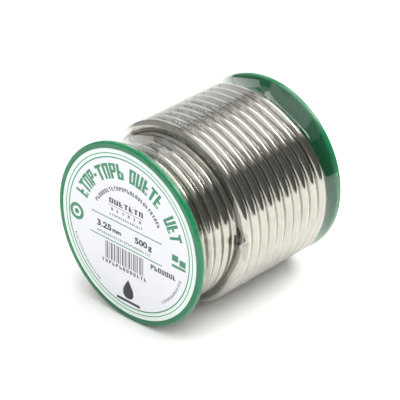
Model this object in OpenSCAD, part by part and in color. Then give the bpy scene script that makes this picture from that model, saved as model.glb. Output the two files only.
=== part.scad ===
// Solder wire spool, lying on its side.
// The spool's axis runs along Y: the labelled front flange faces -Y, the open rear flange faces +Y.
// +Z is up. The origin is on the surface that the two rims rest on, under the middle of the spool.

/* [Reel] */
// Diameter of both flanges
flange_d = 54; // [52.4:0.2:60]
// Overall width across both flanges
reel_w = 57.7; // [50:0.1:62]
// Thickness of a flange at its rim
flange_t = 1.8; // [1.4:0.1:2.4]
// Rounding of a rim towards its outside face
rim_round = 0.6; // [0.2:0.1:0.7]
// Diameter of the barrel that the wire is wound on
barrel_d = 24.4; // [22:0.2:24.6]
// Wall of the barrel
barrel_wall = 1.5; // [1:0.1:1.8]
// Diameter of the hole for a spindle
bore_d = 12; // [8:0.5:13]
// Wall of the tube around that hole
hub_wall = 1.4; // [1:0.1:1.6]
// Number of ribs between the hub tube and the barrel
rib_count = 6; // [3:1:8]
// Thickness of a rib
rib_t = 1; // [0.8:0.1:1.6]
// Length of the spigot that presses one half into the other
spigot_len = 6; // [4:0.5:10]

/* [Label] */
// Diameter of the paper label
label_d = 50.5; // [44:0.5:50.7]
// Thickness of the paper
label_t = 0.12; // [0.08:0.01:0.14]

/* [Wire] */
// Diameter of the solder wire
wire_d = 3.25; // [3.15:0.05:3.25]
// Distance between the middles of neighbouring turns
wire_pitch = 3.45; // [3.3:0.01:3.48]
// Turns left on the top layer, counted from the rear
top_turns = 10; // [4:1:10]
// Angle at which the cut end of the wire lies, from the top towards +X
cut_angle = 88; // [0:1:180]
// Distance of the start hole from the inside of the rear flange
start_inset = 2.4; // [2:0.1:12]

/* [Film] */
// Thickness of the clear film shrunk around the winding
film_t = 0.06; // [0.04:0.01:0.1]

/* [Hidden] */
$fn = 96;

eps = 0.01;
axis_z = flange_d / 2;
half_w = reel_w / 2;
inner_face = half_w - flange_t;

// Reel
inner_round = 0.5;
label_recess = 0.15;
label_gap = 0.25;
recess_r = label_d / 2 + label_gap;
ring_r = 17.6;
ring_w = 0.8;
ring_depth = 0.3;
barrel_r = barrel_d / 2;
bore_r = bore_d / 2;
hub_r = bore_r + hub_wall;
barrel_in_r = barrel_r - barrel_wall;
spigot_r = barrel_in_r + barrel_wall / 2;
spigot_gap = 0.2;
rib_inset = 0.5;
start_angle = 210;
start_hole_d = wire_d + 0.35;
start_y = inner_face - start_inset;
start_depth = 0.5;

// Wire: odd layers end against the rear flange, even layers lie half a pitch further forward
wire_r = wire_d / 2;
layer_step = sqrt(pow(wire_d, 2) - pow(wire_pitch / 2, 2));
lower_layers = 4;
layer_turns = floor((2 * inner_face - wire_d) / wire_pitch + 0.5);
function layer_r(layer) = barrel_r + wire_r + (layer - 1) * layer_step;
function layer_last_y(layer) = inner_face - wire_r - (layer % 2 == 1 ? 0 : wire_pitch / 2);
function layer_first_y(layer) = layer_last_y(layer) - (layer_turns - 1) * wire_pitch;
top_r = layer_r(lower_layers + 1);
top_last_y = layer_last_y(lower_layers + 1) - wire_pitch;
top_first_y = top_last_y - (top_turns - 1) * wire_pitch;
lower_crest_r = layer_r(lower_layers) + wire_r;
crest_r = top_r + wire_r;

// Last turn: it lies beside the top layer and ends in a slanted cut
tail_y = top_first_y - wire_pitch;
tail_span = 255;
cut_slant = 35;

// Puts a shape that was turned around Z onto the spool's axis, with its +Z along +Y
module on_axis() {
    translate([0, 0, axis_z]) rotate([-90, 0, 0]) children();
}

// Half of a flange's section: x is the radius, y runs from its outside face to its inside face
module flange_section() {
    rim_r = flange_d / 2;
    square([rim_r - rim_round, flange_t]);
    translate([0, rim_round]) square([rim_r, flange_t - rim_round - inner_round]);
    translate([rim_r - rim_round, rim_round]) circle(r = rim_round);
    square([rim_r - inner_round, flange_t]);
    translate([rim_r - inner_round, flange_t - inner_round]) circle(r = inner_round);
}

module ring(inner_r, outer_r, z0, z1) {
    translate([0, 0, z0]) difference() {
        cylinder(h = z1 - z0, r = outer_r);
        translate([0, 0, -eps]) cylinder(h = z1 - z0 + 2 * eps, r = inner_r);
    }
}

// Flange, barrel, hub tube and ribs from the outside face at z = 0 up to the joint at barrel_end
module reel_body(barrel_end, hub_end, rib_end) {
    difference() {
        union() {
            rotate_extrude() flange_section();
            cylinder(h = barrel_end, r = barrel_r);
        }
        translate([0, 0, -eps]) cylinder(h = barrel_end + 2 * eps, r = barrel_in_r);
        translate([0, 0, -eps]) cylinder(h = label_recess + eps, r = recess_r);
        translate([0, 0, label_recess - eps]) rotate_extrude()
            translate([ring_r - ring_w / 2, 0]) square([ring_w, ring_depth + eps]);
    }
    ring(bore_r, hub_r, label_recess, hub_end);
    for (i = [0 : rib_count - 1])
        rotate([0, 0, i * 360 / rib_count])
            translate([hub_r - hub_wall / 2, -rib_t / 2, rib_inset])
                cube([barrel_in_r - hub_r + hub_wall / 2 + barrel_wall / 2, rib_t, rib_end - rib_inset]);
}

module reel_front_half() {
    color("seagreen") translate([0, -half_w, 0]) on_axis() difference() {
        reel_body(half_w, half_w, half_w - spigot_len - 1);
        translate([0, 0, half_w - spigot_len])
            ring(hub_r + eps, spigot_r, 0, spigot_len + eps);
    }
}

module reel_rear_half() {
    color("seagreen") difference() {
        translate([0, half_w, 0]) translate([0, 0, axis_z]) rotate([90, 0, 0]) union() {
            reel_body(half_w, half_w, half_w - 1);
            ring(barrel_in_r, spigot_r, half_w - 2, half_w + spigot_len - spigot_gap);
        }
        translate([0, start_y, axis_z]) rotate([0, start_angle, 0])
            translate([0, 0, hub_r + start_depth])
                cylinder(h = barrel_r, d = start_hole_d);
    }
}

module front_label() {
    color("whitesmoke") translate([0, label_recess - half_w, 0]) on_axis()
        translate([0, 0, -label_t]) cylinder(h = label_t, d = label_d, $fn = 180);
}

module wire_start_end() {
    color("silver") translate([0, start_y, axis_z]) rotate([0, start_angle, 0])
        translate([0, 0, hub_r + start_depth])
            cylinder(h = barrel_r - hub_r - start_depth, d = wire_d);
}

// Sections of the wound layers: a row of round turns, filled in down to the layer below
module turns_row(first_y, turns, r) {
    for (i = [0 : turns - 1])
        translate([r, first_y + i * wire_pitch]) circle(r = wire_r);
}

module layer_section(layer) {
    below = max(layer - 1, 1);
    first = max(layer_first_y(layer), layer_first_y(below));
    last = min(layer_last_y(layer), layer_last_y(below));
    bottom_r = layer == 1 ? barrel_r : layer_r(below);
    turns_row(layer_first_y(layer), layer_turns, layer_r(layer));
    translate([bottom_r, first]) square([layer_r(layer) - bottom_r, last - first]);
}

module wire_lower_layers() {
    color("silver") on_axis() rotate_extrude()
        for (layer = [1 : lower_layers]) layer_section(layer);
}

module wire_top_layer() {
    color("silver") on_axis() rotate_extrude() {
        turns_row(top_first_y, top_turns, top_r);
        translate([lower_crest_r, top_first_y])
            square([top_r - lower_crest_r, top_last_y - top_first_y]);
    }
}

module wire_tail() {
    color("silver") on_axis() difference() {
        rotate_extrude(angle = tail_span, start = cut_angle - 90)
            translate([top_r, tail_y]) circle(r = wire_r);
        rotate([0, 0, cut_angle - 90]) translate([crest_r, 0, tail_y])
            rotate([0, 0, cut_slant]) translate([-wire_d * 2, -wire_d * 2, -wire_d])
                cube([wire_d * 4, wire_d * 2, wire_d * 2]);
    }
}

// The film's line from rim to rim: [place along Y, radius of its inside]
film_rim_r = flange_d / 2 - film_t - 0.02;
film_crest_r = crest_r + 0.02;
film_waist_r = film_crest_r - 0.9;
FILM = [
    [-inner_face, film_rim_r], [(tail_y - inner_face) / 2, film_waist_r],
    [tail_y - wire_d, film_waist_r], [tail_y - wire_r / 2, film_crest_r],
    [top_last_y, film_crest_r], [inner_face, film_rim_r]
];

module shrink_film() {
    outside = [for (p = FILM) [p[1] + film_t, p[0]]];
    inside = [for (i = [len(FILM) - 1 : -1 : 0]) [FILM[i][1], FILM[i][0]]];
    color([0.9, 0.93, 0.95, 0.3]) on_axis() rotate_extrude()
        polygon(concat(inside, outside));
}

reel_front_half();
reel_rear_half();
front_label();
wire_start_end();
wire_lower_layers();
wire_top_layer();
wire_tail();
shrink_film();
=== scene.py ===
# Solder wire spool: the looks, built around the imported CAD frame.
import bpy
import math
import numpy as np
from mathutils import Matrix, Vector


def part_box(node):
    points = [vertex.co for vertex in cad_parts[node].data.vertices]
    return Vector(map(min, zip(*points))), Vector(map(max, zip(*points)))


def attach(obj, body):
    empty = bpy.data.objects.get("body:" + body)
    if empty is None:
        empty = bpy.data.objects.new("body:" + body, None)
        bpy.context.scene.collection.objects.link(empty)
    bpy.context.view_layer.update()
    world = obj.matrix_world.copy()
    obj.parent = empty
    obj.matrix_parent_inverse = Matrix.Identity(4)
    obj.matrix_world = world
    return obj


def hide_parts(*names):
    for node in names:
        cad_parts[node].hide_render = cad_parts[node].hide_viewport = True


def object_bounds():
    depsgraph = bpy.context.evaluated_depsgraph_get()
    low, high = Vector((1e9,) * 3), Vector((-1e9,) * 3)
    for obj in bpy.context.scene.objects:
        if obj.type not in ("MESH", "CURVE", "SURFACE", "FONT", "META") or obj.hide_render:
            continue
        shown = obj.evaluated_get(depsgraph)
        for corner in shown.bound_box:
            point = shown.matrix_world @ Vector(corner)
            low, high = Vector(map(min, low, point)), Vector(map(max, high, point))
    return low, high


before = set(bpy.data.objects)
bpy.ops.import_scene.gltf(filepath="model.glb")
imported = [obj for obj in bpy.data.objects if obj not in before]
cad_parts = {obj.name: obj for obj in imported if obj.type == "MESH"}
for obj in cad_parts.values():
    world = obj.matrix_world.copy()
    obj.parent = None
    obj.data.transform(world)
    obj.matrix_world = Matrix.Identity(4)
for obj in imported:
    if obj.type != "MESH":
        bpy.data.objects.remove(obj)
cad_low, cad_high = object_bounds()

MM = 0.001

# ---------------------------------------------------------------- sizes from the frame
film_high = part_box("shrink_film")[1]
label_low, label_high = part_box("front_label")
start_low, start_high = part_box("wire_start_end")
AXIS_Z = (cad_low.z + cad_high.z) / 2 / MM
RIM_R = (cad_high.z - cad_low.z) / 2 / MM
LABEL_R = (label_high.x - label_low.x) / 2 / MM
LABEL_Y = label_low.y / MM
LABEL_BACK = label_high.y / MM
INNER_FACE = film_high.y / MM
START_Y = (start_low.y + start_high.y) / 2 / MM

# ---------------------------------------------------------------- winding, in mm and degrees
# Angles run from +Z towards +X. The barrel and the step from layer to layer are the CAD's.
WIRE_R = 3.25 / 2
BARREL_R = 12.2
LAYER_STEP = 2.754
LAYERS = 4
LAYER_TURNS = 15
HIDDEN_TURNS = (LAYERS - 1) * LAYER_TURNS

# Where the wire starts, how it bends into the first turn, and where it was cut
START_ANGLE = 210.0
START_R = 7.9
START_BEND_R = 2.2
CUT_ANGLE = 88.0

# Places of the turns along the axis; the distance between them grows a little towards the rear
FIRST_TURN_Y = -23.95
PITCH = 3.25
PITCH_GROWTH = 0.0104

# The first and last place, in turns, that the top layer passes at GROOVE_ANGLE
GROOVE_ANGLE = 50.0
TOP_FIRST = 13.5
TOP_LAST = 4.5

# Share of a turn in which the wire of a lower layer steps over
JOG_SHARE = 0.22

# The turns' lean from an even winding: its numbers were fitted to one photograph, not worked out
FRONT_OFF = 0.15
REAR_OFF = 0.4
LEAN = 0.6
LEAN_GROWTH = 1.5
LEAN_ANGLE = 10
LEAN_REACH = 65
LEAN_FADE = 55
LEAN_FROM_Y = -13
LEAN_FULL_Y = -9
LEAN_GROWTH_LENGTH = 27

# The cut end leaves its place over this share of a turn, sideways and outwards
TAIL_SHARE = 0.08
TAIL_ROWS = 36
TAIL_SHIFT = 0.4
TAIL_LIFT = 1.5
CUT_SLANT = 17.0

# Rows of the wire's mesh in a turn, where it is hidden and where it is seen, and corners of its section
HIDDEN_ROWS = 40
SEEN_ROWS = 72
SIDES = 16


def smoothstep(x):
    """A smooth climb from 0 to 1 while x goes from 0 to 1."""
    x = np.clip(x, 0, 1)
    return x * x * (3 - 2 * x)


def turn_y(k):
    """Where the turn k turns behind the front one lies along the axis."""
    return FIRST_TURN_Y + PITCH * k + PITCH_GROWTH * k * k


def drift(angle, y):
    """How far the turns lie off an even winding along the axis, mostly near the top at the rear."""
    from_top = np.abs((angle - LEAN_ANGLE + 180) % 360 - 180)
    lean = smoothstep((LEAN_REACH - from_top) / LEAN_FADE)
    rear = smoothstep((y - LEAN_FROM_Y) / (LEAN_FULL_Y - LEAN_FROM_Y))
    growth = np.clip((y - LEAN_FULL_Y) / LEAN_GROWTH_LENGTH, 0, 1)
    return FRONT_OFF - rear * (REAR_OFF + lean * (LEAN + LEAN_GROWTH * growth))


def layer_r(layer):
    """Radius of a layer's centrelines, the first layer being 1."""
    return BARREL_R + WIRE_R + (layer - 1) * LAYER_STEP


def jog(s):
    """Whole turns that stay parallel to the flange and step over near each turn's end."""
    whole = np.floor(s)
    return whole + smoothstep((s - whole - (1 - JOG_SHARE)) / JOG_SHARE)


def top_start():
    """Turns of wire below the top layer."""
    return LAYERS * LAYER_TURNS


def wire_turns():
    """Turns of wire from its start hole to its cut end."""
    to_groove = (START_ANGLE - GROOVE_ANGLE) / 360
    past_last = (GROOVE_ANGLE - CUT_ANGLE + 360) / 360
    return top_start() + to_groove + TOP_FIRST - TOP_LAST + past_last


def top_place(s):
    """Place across the winding, in turns, of the top layer's helix."""
    return TOP_FIRST - (s - top_start() - (START_ANGLE - GROOVE_ANGLE) / 360)


def lower_place(s):
    """Layer, as a number that climbs between whole ones, and place across the winding."""
    turn = jog(s)
    layer = np.minimum(np.floor(s / LAYER_TURNS), LAYERS - 1)
    inside = turn - layer * LAYER_TURNS
    climb = np.clip(inside - (LAYER_TURNS - 1), 0, 1)
    forward = LAYER_TURNS - 0.5 - np.minimum(inside, LAYER_TURNS - 1) - 0.5 * climb
    backward = np.minimum(inside, LAYER_TURNS - 1) + 0.5 * climb
    place = np.where(layer % 2 == 0, forward, backward)
    return layer + 1 + climb, place


def groove_places(s):
    """Places of the uppermost lower layer's turns at the same angle as s."""
    share = jog(np.mod(s, 1.0))
    return np.arange(LAYER_TURNS)[:, None] + share[None, :]


def resting_r(s, y):
    """Radius at which a turn rests on the two turns below it."""
    below = turn_y(groove_places(s))
    across = np.minimum(np.abs(below - y[None, :]), 2 * WIRE_R)
    lift = np.sqrt((2 * WIRE_R) ** 2 - across**2)
    return layer_r(LAYERS) + lift.max(0)


def smoothed(values, steps):
    """Values after a running mean of that many steps, twice, with the ends held."""
    for _ in range(2):
        padded = np.pad(values, steps, mode="edge")
        kernel = np.ones(2 * steps + 1) / (2 * steps + 1)
        values = np.convolve(padded, kernel, mode="valid")
    return values


def wire_route():
    """Turns s, angle in degrees, place along the axis and radius of the wire's centreline."""
    end = wire_turns()
    lower = np.arange(0, HIDDEN_TURNS, 1 / HIDDEN_ROWS)
    upper = np.arange(HIDDEN_TURNS, end - TAIL_SHARE, 1 / SEEN_ROWS)
    s = np.concatenate([lower, upper, np.linspace(end - TAIL_SHARE, end, TAIL_ROWS)])
    angle = START_ANGLE - 360 * s
    layer, place = lower_place(s)
    y, r = turn_y(place), layer_r(layer)
    on_top = s >= top_start()
    y = np.where(on_top, turn_y(top_place(s)), y)
    r = np.where(on_top, resting_r(s, turn_y(top_place(s))), r)
    outer = s > HIDDEN_TURNS + 1
    r[outer] = smoothed(r[outer], 4)
    y[outer] = smoothed(y[outer], 2)
    # Small waves along the axis, so that the turns are not all alike
    wobble = 0.04 * np.sin(2.3 * s * math.pi) + 0.03 * np.sin(5.1 * s * math.pi + 1)
    y = y + np.where(s > 1, wobble, 0)
    y = y + drift(angle, y)
    to_end = smoothstep((s - end) / TAIL_SHARE + 1)
    return s, angle, y + TAIL_SHIFT * to_end, r + TAIL_LIFT * to_end


def place_on_axis(angle, y, r):
    """Positions in the frame, in mm, at those angles, places along the axis and radii."""
    a = np.radians(angle)
    return np.stack([r * np.sin(a), y, AXIS_Z + r * np.cos(a)], -1)


def start_bend():
    """The wire's start: out of the hub along a radius, then round into the first turn."""
    top = layer_r(1) - START_BEND_R
    up = [(0.0, z) for z in np.linspace(START_R, top, 6)[:-1]]
    bend = [
        (START_BEND_R * (1 - math.cos(a)), top + START_BEND_R * math.sin(a))
        for a in np.linspace(0, math.pi / 2, 7)
    ]
    x, z = np.array(up + bend).T
    angle = START_ANGLE - np.degrees(np.arctan2(x, z))
    return place_on_axis(angle, np.full(len(x), START_Y), np.hypot(x, z))


def wire_line():
    """Centreline points of the whole wire, in mm."""
    s, angle, y, r = wire_route()
    first = start_bend()
    begin = np.searchsorted(s, 0.06)
    blend = smoothstep(s / 0.5)
    y = START_Y + (y - START_Y) * blend
    return np.concatenate([first, place_on_axis(angle, y, r)[begin:]])


# ---------------------------------------------------------------- helpers for pieces


def new_object(name, mesh, slot, *nodes):
    """A piece of that mesh on the spool's one body, which stands for the CAD nodes."""
    piece = bpy.data.objects.new(name, mesh)
    bpy.context.scene.collection.objects.link(piece)
    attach(piece, "root")
    if nodes:
        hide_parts(*nodes)
    return piece


def mesh_from(name, points, faces, crease=35):
    """A mesh of those points, given in mm, and faces, smooth up to an angle of crease degrees."""
    mesh = bpy.data.meshes.new(name)
    mesh.from_pydata((np.asarray(points) * MM).tolist(), [], faces)
    mesh.polygons.foreach_set("use_smooth", [True] * len(mesh.polygons))
    mesh.update()
    mesh.set_sharp_from_angle(angle=math.radians(crease))
    return mesh


def grid_faces(rows, columns, closed):
    """Quads of a grid of points; closed joins the last column to the first."""
    faces = []
    for i in range(rows - 1):
        here, after = i * columns, (i + 1) * columns
        for j in range(columns if closed else columns - 1):
            k = (j + 1) % columns
            faces.append((here + j, here + k, after + k, after + j))
    return faces


# ---------------------------------------------------------------- camera


# Fitted to the photograph: azimuth from -Y towards +X, and the camera's offset from the axis's middle in m
CAMERA_AZIMUTH = 42.986
CAMERA_ELEVATION = 29.557
CAMERA_DISTANCE = 0.6613
CAMERA_LEFT = 0.000185
CAMERA_DOWN = 0.000799


def make_camera():
    """The view on the label and the winding, from the front right and above."""
    azimuth, elevation = math.radians(CAMERA_AZIMUTH), math.radians(CAMERA_ELEVATION)
    back = Vector((
        math.sin(azimuth) * math.cos(elevation),
        -math.cos(azimuth) * math.cos(elevation),
        math.sin(elevation),
    ))
    right = Vector((math.cos(azimuth), math.sin(azimuth), 0))
    up = back.cross(right)
    data = bpy.data.cameras.new("camera")
    data.lens = 213.5
    data.sensor_width = 36
    data.clip_start = 0.05
    data.clip_end = 20
    camera = bpy.data.objects.new("camera", data)
    bpy.context.scene.collection.objects.link(camera)
    centre = Vector((0, 0, AXIS_Z * MM))
    camera.location = centre + back * CAMERA_DISTANCE - right * CAMERA_LEFT - up * CAMERA_DOWN
    camera.rotation_mode = "QUATERNION"
    camera.rotation_quaternion = (-back).to_track_quat("-Z", "Y")
    bpy.context.scene.camera = camera


# ---------------------------------------------------------------- node helpers


def add(tree, kind, inputs=None, **settings):
    """A node with its settings and inputs, each a value or a socket to link."""
    node = tree.nodes.new(kind)
    for key, value in settings.items():
        setattr(node, key, value)
    for key, value in (inputs or {}).items():
        if isinstance(value, bpy.types.NodeSocket):
            tree.links.new(value, node.inputs[key])
        else:
            node.inputs[key].default_value = value
    return node


def math_node(tree, operation, *values):
    """The result of a calculation on values or sockets."""
    return add(tree, "ShaderNodeMath", dict(enumerate(values)), operation=operation).outputs[0]


def ramp(tree, value, low, high, to_low=0.0, to_high=1.0):
    """A value carried from one range into another, held at both ends."""
    inputs = {"Value": value, "From Min": low, "From Max": high, "To Min": to_low, "To Max": to_high}
    return add(tree, "ShaderNodeMapRange", inputs).outputs[0]


def mixed(tree, factor, first, second):
    """A colour between two others."""
    node = add(tree, "ShaderNodeMix", data_type="RGBA")
    for socket, value in zip((node.inputs[0], node.inputs[6], node.inputs[7]), (factor, first, second)):
        if isinstance(value, bpy.types.NodeSocket):
            tree.links.new(value, socket)
        else:
            socket.default_value = value
    return node.outputs[2]


def noise(tree, vector, scale, detail=2.0, rough=0.5):
    """Cloudy noise, roughly from 0 to 1."""
    inputs = {"Vector": vector, "Scale": scale, "Detail": detail, "Roughness": rough}
    return add(tree, "ShaderNodeTexNoise", inputs).outputs[0]


def rgb(red, green, blue):
    """A linear colour from 8-bit sRGB values."""

    def linear(v):
        v /= 255
        return v / 12.92 if v <= 0.04045 else ((v + 0.055) / 1.055) ** 2.4

    return (linear(red), linear(green), linear(blue), 1.0)


def new_material(name):
    """A material with its node tree, its shader and the piece's own coordinates."""
    material = bpy.data.materials.new(name)
    material.use_nodes = True
    tree = material.node_tree
    shader = tree.nodes["Principled BSDF"]
    position = add(tree, "ShaderNodeTexCoord").outputs["Object"]
    return material, tree, shader, position


def bump(tree, shader, height, distance, strength=1.0):
    """Small relief on a shader, with its height in m at the value 1."""
    inputs = {"Height": height, "Distance": distance, "Strength": strength}
    tree.links.new(add(tree, "ShaderNodeBump", inputs).outputs[0], shader.inputs["Normal"])


# ---------------------------------------------------------------- materials


def reel_plastic():
    """Glossy green polystyrene with faint flow clouds and handling scuffs."""
    material, tree, shader, position = new_material("reel_plastic")
    clouds = noise(tree, position, 60, 3)
    colour = mixed(tree, ramp(tree, clouds, 0.35, 0.65), rgb(18, 105, 68), rgb(28, 117, 78))
    tree.links.new(colour, shader.inputs["Base Color"])
    scuffs = noise(tree, position, 900, 4, 0.7)
    tree.links.new(ramp(tree, scuffs, 0.4, 0.75, 0.16, 0.34), shader.inputs["Roughness"])
    bump(tree, shader, noise(tree, position, 450, 2), 0.00002)
    shader.inputs["IOR"].default_value = 1.5
    shader.inputs["Subsurface Weight"].default_value = 0.8
    shader.inputs["Subsurface Radius"].default_value = (0.4, 1.0, 0.7)
    shader.inputs["Subsurface Scale"].default_value = 0.004
    return material


def label_paper():
    """Coated paper, with a pale tinted margin printed near its edge."""
    material, tree, shader, position = new_material("label_paper")
    parts = add(tree, "ShaderNodeSeparateXYZ", {0: position})
    z = math_node(tree, "SUBTRACT", parts.outputs[2], AXIS_Z * MM)
    x_squared = math_node(tree, "MULTIPLY", parts.outputs[0], parts.outputs[0])
    z_squared = math_node(tree, "MULTIPLY", z, z)
    r = math_node(tree, "SQRT", math_node(tree, "ADD", x_squared, z_squared))
    fibres = noise(tree, position, 2500, 4, 0.6)
    paper = mixed(tree, ramp(tree, fibres, 0.3, 0.7), rgb(222, 223, 229), rgb(231, 232, 237))
    margin = ramp(tree, r, 22.75 * MM, 22.8 * MM)
    colour = mixed(tree, margin, paper, rgb(220, 233, 228))
    tree.links.new(colour, shader.inputs["Base Color"])
    tree.links.new(ramp(tree, fibres, 0.3, 0.7, 0.38, 0.5), shader.inputs["Roughness"])
    bump(tree, shader, fibres, 0.00001)
    return material


def printed_ink(name, colour):
    """Ink that lies on the paper, slightly uneven."""
    material, tree, shader, position = new_material(name)
    grain = noise(tree, position, 4000, 3, 0.6)
    lighter = tuple(min(1, c * 1.35 + 0.01) for c in colour[:3]) + (1,)
    tree.links.new(mixed(tree, ramp(tree, grain, 0.45, 0.75), colour, lighter), shader.inputs["Base Color"])
    tree.links.new(ramp(tree, grain, 0.3, 0.7, 0.4, 0.55), shader.inputs["Roughness"])
    return material


def solder():
    """Bright tin alloy with fine drawing lines along the wire and soft dents."""
    material, tree, shader, position = new_material("solder")
    uv = add(tree, "ShaderNodeUVMap", uv_map="along_wire").outputs[0]
    stretched = add(tree, "ShaderNodeVectorMath", {0: uv, 1: (2, 1, 1)}, operation="MULTIPLY").outputs[0]
    lines = noise(tree, stretched, 40, 3, 0.6)
    marks = noise(tree, position, 420, 3, 0.6)
    tint = mixed(tree, ramp(tree, marks, 0.35, 0.7), rgb(187, 183, 172), rgb(178, 174, 162))
    tree.links.new(tint, shader.inputs["Base Color"])
    shader.inputs["Metallic"].default_value = 1.0
    from_lines = math_node(tree, "MULTIPLY", lines, 0.6)
    from_marks = math_node(tree, "MULTIPLY", marks, 0.4)
    worn = math_node(tree, "ADD", from_lines, from_marks)
    tree.links.new(ramp(tree, worn, 0.3, 0.7, 0.1, 0.17), shader.inputs["Roughness"])
    shader.inputs["Anisotropic"].default_value = 0.6
    shader.inputs["Anisotropic Rotation"].default_value = 0.25
    tangent = add(tree, "ShaderNodeTangent", direction_type="UV_MAP", uv_map="along_wire")
    tree.links.new(tangent.outputs[0], shader.inputs["Tangent"])
    line_height = math_node(tree, "MULTIPLY", lines, 0.5)
    mark_height = math_node(tree, "MULTIPLY", marks, 0.5)
    height = math_node(tree, "ADD", line_height, mark_height)
    bump(tree, shader, height, 0.000014)
    return material


def cut_solder():
    """The dull face that the cutters left."""
    material, tree, shader, position = new_material("cut_solder")
    shear = noise(tree, position, 1800, 3, 0.7)
    tree.links.new(mixed(tree, shear, rgb(150, 148, 141), rgb(176, 174, 166)), shader.inputs["Base Color"])
    shader.inputs["Metallic"].default_value = 0.1
    tree.links.new(ramp(tree, shear, 0.3, 0.7, 0.45, 0.6), shader.inputs["Roughness"])
    bump(tree, shader, shear, 0.00003)
    return material


def clear_film():
    """Thin shrink film: clear, mirroring at a slant, with faint drawn streaks."""
    material, tree, shader, position = new_material("clear_film")
    tree.nodes.remove(shader)
    streaks = noise(tree, position, 300, 3, 0.6)
    clear = add(tree, "ShaderNodeBsdfTransparent", {"Color": (0.97, 0.98, 0.98, 1)})
    mirror = add(tree, "ShaderNodeBsdfGlossy", {"Color": (1, 1, 1, 1), "Roughness": 0.03})
    bump(tree, mirror, streaks, 0.00002)
    slant = add(tree, "ShaderNodeLayerWeight").outputs["Facing"]
    share = ramp(tree, math_node(tree, "POWER", slant, 4), 0, 1, 0.07, 0.72)
    shown = add(tree, "ShaderNodeMixShader", {0: share, 1: clear.outputs[0], 2: mirror.outputs[0]})
    tree.links.new(shown.outputs[0], tree.nodes["Material Output"].inputs["Surface"])
    return material


# ---------------------------------------------------------------- reel


def make_reel():
    """The two moulded halves come from the CAD; they get their plastic and smooth round faces."""
    plastic = reel_plastic()
    for node in ("reel_front_half", "reel_rear_half"):
        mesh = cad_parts[node].data
        mesh.materials.clear()
        mesh.materials.append(plastic)
        mesh.polygons.foreach_set("use_smooth", [True] * len(mesh.polygons))
        mesh.set_sharp_from_angle(angle=math.radians(25))


# ---------------------------------------------------------------- wire


def wire_rings(line):
    """Rings of points round the centreline, and the distance along it of each."""
    ahead = np.gradient(line, axis=0)
    ahead /= np.linalg.norm(ahead, axis=1)[:, None]
    out = line - np.array([0, 0, AXIS_Z])
    out[:, 1] = 0
    out -= (out * ahead).sum(1)[:, None] * ahead
    steep = np.linalg.norm(out, axis=1) < 1e-6
    out[steep] = (1, 0, 0)
    out /= np.linalg.norm(out, axis=1)[:, None]
    side = np.cross(ahead, out)
    along = np.concatenate([[0], np.cumsum(np.linalg.norm(np.diff(line, axis=0), axis=1))])
    turn = np.linspace(0, 2 * math.pi, SIDES, endpoint=False)
    ring = np.cos(turn)[None, :, None] * out[:, None] + np.sin(turn)[None, :, None] * side[:, None]
    return line[:, None] + WIRE_R * ring, along


def pinched_end(rings, along):
    """Draw the last rings back along the wire to the two slanted faces that side cutters leave."""
    first = len(rings) - TAIL_ROWS
    last = rings[first:].copy()
    distance = along[first:] - along[first]
    for j in range(SIDES):
        from_ridge = WIRE_R * abs(math.cos(2 * math.pi * j / SIDES))
        back = from_ridge / math.tan(math.radians(CUT_SLANT))
        at = distance * (1 - back / distance[-1])
        for k in range(3):
            rings[first:, j, k] = np.interp(at, distance, last[:, j, k])


def make_wire():
    """One length of wire from the barrel's start hole, up through the layers, to its cut end."""
    line = wire_line()
    rings, along = wire_rings(line)
    pinched_end(rings, along)
    rows = len(line)
    faces = grid_faces(rows, SIDES, True)
    faces.append(tuple(range(SIDES - 1, -1, -1)))
    for low in (SIDES // 4, -SIDES // 4):
        faces.append(tuple((rows - 1) * SIDES + (low + j) % SIDES for j in range(SIDES // 2 + 1)))
    mesh = mesh_from("solder_wire", rings.reshape(-1, 3), faces, crease=120)
    ends = {0, rows - 1}
    for edge in mesh.edges:
        a, b = edge.vertices
        if a // SIDES == b // SIDES and a // SIDES in ends:
            edge.use_edge_sharp = True
    uv = mesh.uv_layers.new(name="along_wire")
    loops = np.zeros(len(mesh.loops), int)
    mesh.loops.foreach_get("vertex_index", loops)
    round_it = (loops + SIDES // 2) % SIDES / SIDES
    uv.data.foreach_set("uv", np.stack([along[loops // SIDES] * MM, round_it], -1).ravel())
    piece = new_object("solder_wire", mesh, "solder",
                       "wire_lower_layers", "wire_top_layer", "wire_tail", "wire_start_end")
    piece.data.materials.append(solder())
    piece.data.materials.append(cut_solder())
    mesh.polygons[len(faces) - 2].material_index = 1
    mesh.polygons[len(faces) - 1].material_index = 1


# ---------------------------------------------------------------- film

# Rounding of the flanges' inner edges, as in the CAD, and how far the film stays off what it covers
FLANGE_ROUND = 0.5
FILM_GAP = 0.05

# Pull round the spool against the pull along it, and how many times stronger it presses where it lies tight
HOOP_TENSION = 1.5
TIGHT_TIMES = 9
TIGHT_FROM_Y = -22
TIGHT_TO_Y = 24.5
LOOSE_FROM = -75
LOOSE_TO = 20
SHRINK_STEPS = 2500

# Rows along the axis and columns round it of the grid on which the film is shrunk
FILM_ROWS = 200
FILM_COLUMNS = 400

# Small folds over the top: their height, half width, the distance between them and where they lie
FOLD_HEIGHT = 0.42
FOLD_WIDTH = 0.18
FOLD_STEP = 1.2
FOLDS_FROM = -24
FOLDS_TO = 12
FOLDS_FROM_Y = -15
FOLDS_TO_Y = 9


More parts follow.
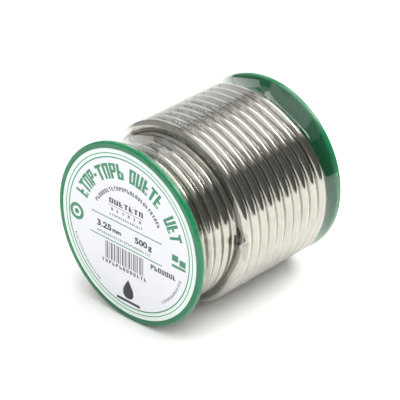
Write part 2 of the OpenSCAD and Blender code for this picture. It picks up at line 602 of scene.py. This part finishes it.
def winding_surface(y, angle):
    """Radius of what the film lies on, over a grid of places along and round the axis."""
    s, _, route_y, route_r = wire_route()
    surface = np.full((len(y), len(angle)), BARREL_R)
    for turn in range(HIDDEN_TURNS, int(wire_turns()) + 1):
        at = turn + (START_ANGLE - angle) % 360 / 360
        here = at <= wire_turns()
        centre_y = np.interp(at, s, route_y)
        centre_r = np.interp(at, s, route_r)
        across = np.abs(y[:, None] - centre_y[None, :])
        crest = centre_r[None, :] + np.sqrt(np.maximum(WIRE_R**2 - across**2, 0))
        surface = np.where((across < WIRE_R) & here[None, :], np.maximum(surface, crest), surface)
    from_round = INNER_FACE + FLANGE_ROUND - np.abs(y)
    rim = RIM_R - FLANGE_ROUND + np.sqrt(np.maximum(FLANGE_ROUND**2 - from_round**2, 0))
    on_rim = np.abs(y) >= INNER_FACE
    surface[on_rim] = rim[on_rim][:, None]
    return surface + FILM_GAP


def shrunk_film(y, angle):
    """The film's radius: a sleeve in tension both ways, drawn onto what it lies on."""
    floor = winding_surface(y, angle)
    film = np.maximum(floor, RIM_R)
    film[0], film[-1] = floor[0], floor[-1]
    step_y = y[1] - y[0]
    step_a = 2 * math.pi * RIM_R / len(angle)
    turn = (angle[None, :] + 180) % 360 - 180
    loose = smoothstep((turn - LOOSE_FROM) / 15) * smoothstep((LOOSE_TO - turn) / 10)
    place = y[1:-1, None]
    on_turns = smoothstep((place - TIGHT_FROM_Y) / 2) * smoothstep((TIGHT_TO_Y - place) / 2)
    hoop = HOOP_TENSION * (1 + (TIGHT_TIMES - 1) * on_turns * (1 - loose))
    along, round_it = 1 / step_y**2, HOOP_TENSION / step_a**2
    for _ in range(SHRINK_STEPS):
        inside = film[1:-1]
        pull = along * (film[:-2] + film[2:])
        pull += round_it * (np.roll(inside, 1, 1) + np.roll(inside, -1, 1))
        pull -= hoop / inside
        film[1:-1] = np.maximum(floor[1:-1], pull / (2 * along + 2 * round_it))
    return film


def folds(film, floor, y, angle):
    """Small sharp folds where the film shrank over the grooves between the uppermost turns."""
    place, turn = y[:, None], (angle[None, :] + 180) % 360 - 180
    here = smoothstep((turn - FOLDS_FROM) / 8) * smoothstep((FOLDS_TO - turn) / 5)
    here = here * smoothstep((place - FOLDS_FROM_Y) / 2) * smoothstep((FOLDS_TO_Y - place) / 5)
    over_groove = smoothstep((film - floor - 0.1) / 0.5)
    shift = 3 * np.sin(0.9 * place) + 2 * np.sin(2.3 * place + 1) + 0.25 * place
    from_fold = (np.radians(turn) * RIM_R + shift) % FOLD_STEP - FOLD_STEP / 2
    kept = 0.6 + 0.4 * np.sin(np.radians(turn) * 31 + 1.9 * place)
    return FOLD_HEIGHT * here * over_groove * kept * np.exp(-((from_fold / FOLD_WIDTH) ** 2))


def film_edge(angle):
    """How far the film's cut edge reaches over the rims: it is not straight."""
    a = np.radians(angle)
    return 0.72 + 0.14 * np.sin(5 * a + 1) + 0.09 * np.sin(11 * a + 2) + 0.06 * np.sin(23 * a)


def make_film():
    """A clear sleeve shrunk over the winding, with its edges a little way onto the two rims."""
    edge = INNER_FACE + FLANGE_ROUND
    y = np.linspace(-edge, edge, FILM_ROWS)
    angle = np.linspace(0, 360, FILM_COLUMNS, endpoint=False)
    film = shrunk_film(y, angle)
    # Finer columns over the top, where the folds are
    fine = np.concatenate([np.arange(0, 14, 0.2), np.arange(14, 334, 1), np.arange(334, 360, 0.2)])
    film = np.stack([np.interp(fine, angle, row, period=360) for row in film])
    floor = winding_surface(y, fine)
    film = np.maximum(film, floor) + folds(film, floor, y, fine)
    y = y[:, None] + 0 * film
    # Three more rows at each end carry the film onto the rim
    brim = np.array([0.6, 0.95, 1.0])[:, None] * (film_edge(fine) - FLANGE_ROUND)
    lift = np.array([0, 0.08, 0.03])[:, None] + 0 * brim
    y = np.concatenate([y[:1] - brim[::-1], y, y[-1:] + brim])
    film = np.concatenate([film[:1] + lift[::-1], film, film[-1:] + lift])
    points = place_on_axis(fine[None, :] + 0 * film, y, film)
    points[..., 2] = np.maximum(points[..., 2], 0.001)
    faces = grid_faces(*film.shape, True)
    mesh = mesh_from("shrink_film_sleeve", points.reshape(-1, 3), faces, crease=80)
    piece = new_object("shrink_film_sleeve", mesh, "clear_film", "shrink_film")
    piece.data.materials.append(clear_film())


# ---------------------------------------------------------------- label

# How far the ink stands off the paper and reaches into it, and how far the label was stuck on turned
INK = 0.015
INK_SINK = 0.004
LABEL_TURN = -1.2

# The crease over the ring groove, how the paper's edge is bevelled and the paper's least thickness
CREASE_R = 17.6
CREASE_W = 0.45
CREASE_DEPTH = 0.06
BEVEL_WIDTH = 0.03
BEVEL_SHARE = 0.03
PAPER_LEAST = 0.05

# Stand-in glyphs that spell nothing: boxes (u0, v0, u1, v1) of a unit square
STROKES = (
    ((0, 0, 0.38, 1), (0.62, 0, 1, 1), (0.38, 0.82, 0.62, 1)),
    ((0, 0, 0.4, 1), (0.4, 0, 1, 0.19), (0.4, 0.41, 0.8, 0.59)),
    ((0, 0, 0.38, 1), (0.62, 0, 1, 1), (0.38, 0, 0.62, 0.16), (0.38, 0.84, 0.62, 1)),
    ((0, 0, 0.38, 1), (0.62, 0.5, 1, 1), (0.38, 0.4, 0.9, 0.56), (0.38, 0.84, 0.62, 1)),
    ((0, 0.81, 1, 1), (0.3, 0, 0.7, 0.81)),
    ((0, 0, 0.38, 1), (0.62, 0, 1, 1), (0.38, 0, 0.62, 0.18)),
    ((0, 0, 0.38, 1), (0.62, 0, 1, 0.5), (0.38, 0, 0.62, 0.16), (0.38, 0.42, 0.62, 0.58)),
)


def paper_y(x, z):
    """Where the paper's face lies: it sinks a little into the ring groove behind it."""
    r = np.hypot(x, z)
    return LABEL_Y + CREASE_DEPTH * np.exp(-(((r - CREASE_R) / CREASE_W) ** 2))


def make_paper():
    """The round label: a sheet with a creased ring and a cut edge."""
    inside = np.concatenate([[0.4, 4, 8, 12, 15], np.linspace(16.4, 18.8, 17), [20, 22, 24]])
    bevel = (LABEL_BACK - LABEL_Y) * BEVEL_SHARE
    front = [(r, 0) for r in inside] + [(LABEL_R - BEVEL_WIDTH, 0), (LABEL_R, bevel)]
    turn = np.linspace(0, 2 * math.pi, 180, endpoint=False)
    points = []
    for r, sunk in front:
        x, z = r * np.sin(turn), r * np.cos(turn)
        points.append(np.stack([x, paper_y(x, z) + sunk, AXIS_Z + z], -1))
    for r in [LABEL_R, *inside[::-1]]:
        x, z = r * np.sin(turn), r * np.cos(turn)
        y = np.maximum(paper_y(x, z) + PAPER_LEAST, LABEL_BACK)
        points.append(np.stack([x, y, AXIS_Z + z], -1))
    rows = len(points)
    faces = grid_faces(rows, len(turn), True)
    faces.append(tuple(range(len(turn) - 1, -1, -1)))
    faces.append(tuple((rows - 1) * len(turn) + j for j in range(len(turn))))
    mesh = mesh_from("paper_label", np.concatenate(points), faces)
    piece = new_object("paper_label", mesh, "label_paper", "front_label")
    piece.data.materials.append(label_paper())


class Ink:
    """Printed shapes on the label, each a thin flat body that stands a little off the paper."""

    def __init__(self):
        self.points = []
        self.faces = []

    def shape(self, outline):
        """A filled outline of (x, z) points, in mm from the axis."""
        first, count = len(self.points), len(outline)
        x, z = np.array(outline).T
        y = paper_y(x, z)
        for depth in (-INK, INK_SINK):
            self.points += [(a, b + depth, AXIS_Z + c) for a, b, c in zip(x, y, z)]
        front = [first + i for i in range(count)]
        self.faces.append(tuple(front))
        self.faces.append(tuple(i + count for i in front[::-1]))
        for i in range(count):
            k = (i + 1) % count
            self.faces.append((first + k, first + i, first + count + i, first + count + k))

    def ring(self, inner, outer, centre=(0, 0), steps=180):
        """A closed band between two radii."""
        first = len(self.points)
        turn = np.linspace(0, 2 * math.pi, steps, endpoint=False)
        for r, depth in ((inner, -INK), (outer, -INK), (outer, INK_SINK), (inner, INK_SINK)):
            x, z = centre[0] + r * np.sin(turn), centre[1] + r * np.cos(turn)
            y = paper_y(x, z) + depth
            self.points += list(zip(x, y, AXIS_Z + z))
        for i in range(4):
            for j in range(steps):
                a, b = first + i * steps, first + (i + 1) % 4 * steps
                k = (j + 1) % steps
                self.faces.append((a + j, b + j, b + k, a + k))

    def strokes(self, place, boxes):
        """Boxes of a glyph's unit square, carried onto the label by place(u, v)."""
        for u0, v0, u1, v1 in boxes:
            self.shape([place(u0, v0), place(u1, v0), place(u1, v1), place(u0, v1)])

    def row(self, place, count, gap, start=0):
        """A line of stand-in glyphs: the strokes say nothing, they only fill the line."""
        for i in range(count):
            low, wide = (i + gap / 2) / count, (1 - gap) / count
            boxes = STROKES[(start + 3 * i + i // 4) % len(STROKES)]
            self.strokes(lambda u, v: place(low + wide * u, v), boxes)

    def number(self, body, west, east, low, high):
        """Figures or a unit in the built-in face, fitted to a box."""
        curve = bpy.data.curves.new("figures", "FONT")
        curve.body = body
        curve.offset = 0.035
        curve.resolution_u = 3
        text = bpy.data.objects.new("figures", curve)
        mesh = bpy.data.meshes.new_from_object(text)
        flat = np.array([v.co[:2] for v in mesh.vertices])
        flat = (flat - flat.min(0)) / (flat.max(0) - flat.min(0))
        for polygon in mesh.polygons:
            corners = [flat[i] for i in polygon.vertices]
            self.shape([turned(west + (east - west) * u, low + (high - low) * v) for u, v in corners])
        bpy.data.objects.remove(text)
        bpy.data.curves.remove(curve)
        bpy.data.meshes.remove(mesh)

    def piece(self, name, colour):
        """The printed shapes so far as one piece in that colour."""
        mesh = mesh_from(name, self.points, self.faces)
        piece = new_object(name, mesh, "label_paper")
        piece.data.materials.append(printed_ink(name, colour))


def turned(x, z):
    """The label was stuck on slightly turned; its level lines all slope alike."""
    a = math.radians(LABEL_TURN)
    return x * math.cos(a) - z * math.sin(a), x * math.sin(a) + z * math.cos(a)


def level(west, east, low, high):
    """Places in a level box of the label."""
    return lambda u, v: turned(west + (east - west) * u, low + (high - low) * v)


def arched(start, end, inner, outer):
    """Places in an arc of the label; angles run clockwise from the top."""

    def place(u, v):
        a, r = math.radians(start + (end - start) * u), inner + (outer - inner) * v
        return r * math.sin(a), r * math.cos(a)

    return place


def print_green(ink):
    """Rings, headline arc, rules and the two badges."""
    ink.ring(23.8, 24.05)
    ink.ring(22.6, 22.95)
    ink.row(arched(-71, -43, 16.5, 21), 4, 0.13, 1)
    ink.strokes(arched(-42.5, -39, 16.5, 21), [(0, 0.4, 1, 0.58)])
    ink.row(arched(-38, -4, 16.5, 21), 4, 0.13, 4)
    ink.row(arched(2, 42, 16.5, 21), 5, 0.13, 2)
    ink.row(arched(52, 75, 16.5, 21), 3, 0.13, 5)
    ink.strokes(level(-14, 12.6, 2.3, 2.6), [(0, 0, 1, 1)])
    ink.strokes(level(-14.5, 12.6, -4.45, -4.15), [(0, 0, 1, 1)])
    ink.row(level(-11.9, 8.5, -3.3, -2.55), 26, 0.4)
    ink.ring(1.6, 2.6, (-19.8, 0), 48)
    ink.ring(0.05, 0.8, (-19.8, 0), 24)
    ink.strokes(level(16.4, 21.4, -2.6, 1.2), [(0, 0.5, 0.45, 1), (0.55, 0.3, 1, 0.8), (0, 0, 1, 0.2)])


def print_black(ink):
    """Small lines, figures, bars and a drop as the emblem."""
    ink.row(arched(-62, 60, 13, 14.2), 28, 0.3, 3)
    ink.row(level(-7.4, 5.7, 7.6, 9.2), 7, 0.2, 2)
    ink.strokes(level(-7.4, 5.7, 6.85, 6.97), [(0, 0, 1, 1)])
    ink.row(level(-7.2, 5.5, 5.4, 6.3), 6, 0.68, 5)
    ink.row(level(-7.2, 5.5, 3.75, 4.4), 15, 0.45, 1)
    ink.number("3.25", -11.9, -6.4, -1.45, 0.5)
    ink.number("mm", -6.0, -2.7, -1.4, -0.35)
    ink.number("500", 2.5, 7.2, -1.35, 0.6)
    ink.number("g", 7.5, 8.9, -1.9, -0.15)
    west = -8.7
    for i in range(21):
        wide = 0.22 + 0.13 * (i * i * 5 % 4)
        ink.strokes(level(west, west + wide, -10.6, -5.1), [(0, 0, 1, 1)])
        west += wide + 0.27 + 0.16 * (i * 7 % 3)
    ink.row(level(-10.3, 7.1, -12.1, -11.0), 13, 0.4, 4)
    ink.row(level(8.4, 17.9, -6.9, -5.4), 7, 0.2, 3)
    around = np.linspace(0, 2 * math.pi, 32, endpoint=False)
    wide = 2.9 * np.sin(around) * np.sin(around / 2) ** 1.5
    ink.shape([turned(x, -17.3 + 3.1 * math.cos(a)) for x, a in zip(wide, around)])
    ink.strokes(level(-4.3, 4.5, -21.7, -20.9), [(0, 0, 1, 1)])
    ink.row(arched(-149, -108, 21.1, 21.9), 22, 0.55, 2)
    ink.row(arched(143, 108, 20.9, 20.1), 18, 0.5, 1)


def make_label():
    """The paper and the two colours printed on it."""
    make_paper()
    green, black = Ink(), Ink()
    print_green(green)
    print_black(black)
    green.piece("label_print_green", rgb(46, 128, 92))
    black.piece("label_print_black", rgb(38, 38, 42))


# ---------------------------------------------------------------- stage


# The floor reaches this far each way, in mm, but ends along the line x + y = FLOOR_CUT
FLOOR_REACH = 4000
FLOOR_CUT = 467


def make_floor():
    """A matt pale floor."""
    far, near = FLOOR_REACH, FLOOR_CUT - FLOOR_REACH
    corners = [(-far, -far, 0), (far, -far, 0), (far, near, 0), (near, far, 0), (-far, far, 0)]
    mesh = mesh_from("floor", corners, [(0, 1, 2, 3, 4)])
    floor = bpy.data.objects.new("floor", mesh)
    bpy.context.scene.collection.objects.link(floor)
    material, _, shader, _ = new_material("floor")
    shader.inputs["Base Color"].default_value = (0.88, 0.875, 0.86, 1)
    shader.inputs["Roughness"].default_value = 0.9
    shader.inputs["Specular IOR Level"].default_value = 0.1
    floor.data.materials.append(material)


def direction(azimuth, elevation):
    """Unit vector; azimuth from +Y towards +X, both in degrees."""
    a, e = math.radians(azimuth), math.radians(elevation)
    return Vector((math.sin(a) * math.cos(e), math.cos(a) * math.cos(e), math.sin(e)))


def soft_box(name, azimuth, elevation, width, height, radiance, mirrored=True, distance=1.2):
    """A rectangular light that spans those degrees, seen from the spool; mirrored: seen in reflections."""
    data = bpy.data.lights.new(name, "AREA")
    data.shape = "RECTANGLE"
    data.size = 2 * distance * math.tan(math.radians(width / 2))
    data.size_y = 2 * distance * math.tan(math.radians(height / 2))
    data.energy = radiance * math.pi * data.size * data.size_y
    lamp = bpy.data.objects.new(name, data)
    bpy.context.scene.collection.objects.link(lamp)
    toward = direction(azimuth, elevation)
    lamp.location = Vector((0, 0, AXIS_Z * MM)) + toward * distance
    lamp.rotation_mode = "QUATERNION"
    lamp.rotation_quaternion = toward.to_track_quat("Z", "Y")
    lamp.visible_camera = False
    lamp.visible_glossy = mirrored


# What the studio shows. Each panel: azimuths from +Y towards +X, elevations, edge softness, radiance.
# The brightest panel counts where they overlap. They were tuned to the reflections in one photograph.
WORLD_DARK = 0.12
WORLD_PANELS = [
    (-60, 200, 57, 100, 3, 1.25),
    (-200, -60, 66, 100, 3, 0.9),
    (36, 200, 40, 60, 2, 0.5),
    (-53, -37, -10, 38, 1, 1.45),
    (-40, -20, 30, 60, 3, 0.75),
    (-41, -22, -10, 24, 3, 0.9),
    (-200, -58, -10, 66, 5, 0.48),
    (130, 200, -10, 60, 5, 0.25),
    (-30, 18, -10, 60, 4, 0.3),
    (70, 135, -10, 60, 6, 0.16),
    (-25, 40, 33, 55, 3, 3.2),
    (-22, -3, 10, 40, 3, 2.6),
]


def make_world():
    """White to the camera; for light and reflections a studio with a dark side and pale panels."""
    world = bpy.data.worlds.new("studio")
    bpy.context.scene.world = world
    world.use_nodes = True
    tree = world.node_tree
    way = add(tree, "ShaderNodeTexCoord").outputs["Generated"]
    parts = add(tree, "ShaderNodeSeparateXYZ", {0: way})
    azimuth = math_node(tree, "DEGREES", math_node(tree, "ARCTAN2", parts.outputs[0], parts.outputs[1]))
    elevation = math_node(tree, "DEGREES", math_node(tree, "ARCSINE", parts.outputs[2]))
    light = WORLD_DARK
    for west, east, low, high, soft, radiance in WORLD_PANELS:
        past_west = ramp(tree, azimuth, west - soft, west + soft)
        before_east = ramp(tree, azimuth, east + soft, east - soft)
        sides = math_node(tree, "MULTIPLY", past_west, before_east)
        over_low = ramp(tree, elevation, low - soft, low + soft)
        under_high = ramp(tree, elevation, high + soft, high - soft)
        ends = math_node(tree, "MULTIPLY", over_low, under_high)
        shape = math_node(tree, "MULTIPLY", sides, ends)
        panel = math_node(tree, "MULTIPLY", shape, radiance)
        light = math_node(tree, "MAXIMUM", light, panel)
    path = add(tree, "ShaderNodeLightPath")
    strength = mixed(tree, path.outputs["Is Camera Ray"], light, (1.0, 1.0, 1.0, 1))
    background = tree.nodes["Background"]
    tree.links.new(strength, background.inputs["Color"])
    background.inputs["Strength"].default_value = 1.0


def make_lights():
    """The lights besides the studio, and plain display colours."""
    soft_box("key_box", 28, 42, 20, 12, 5.0)
    soft_box("overhead_fill", 100, 70, 100, 75, 1.95, mirrored=False)
    soft_box("back_fill", 0, 25, 60, 40, 1.5, mirrored=False)
    bpy.context.scene.view_settings.view_transform = "Standard"


# ---------------------------------------------------------------- build

make_camera()
make_world()
make_lights()
make_floor()
make_reel()
make_label()
make_wire()
make_film()
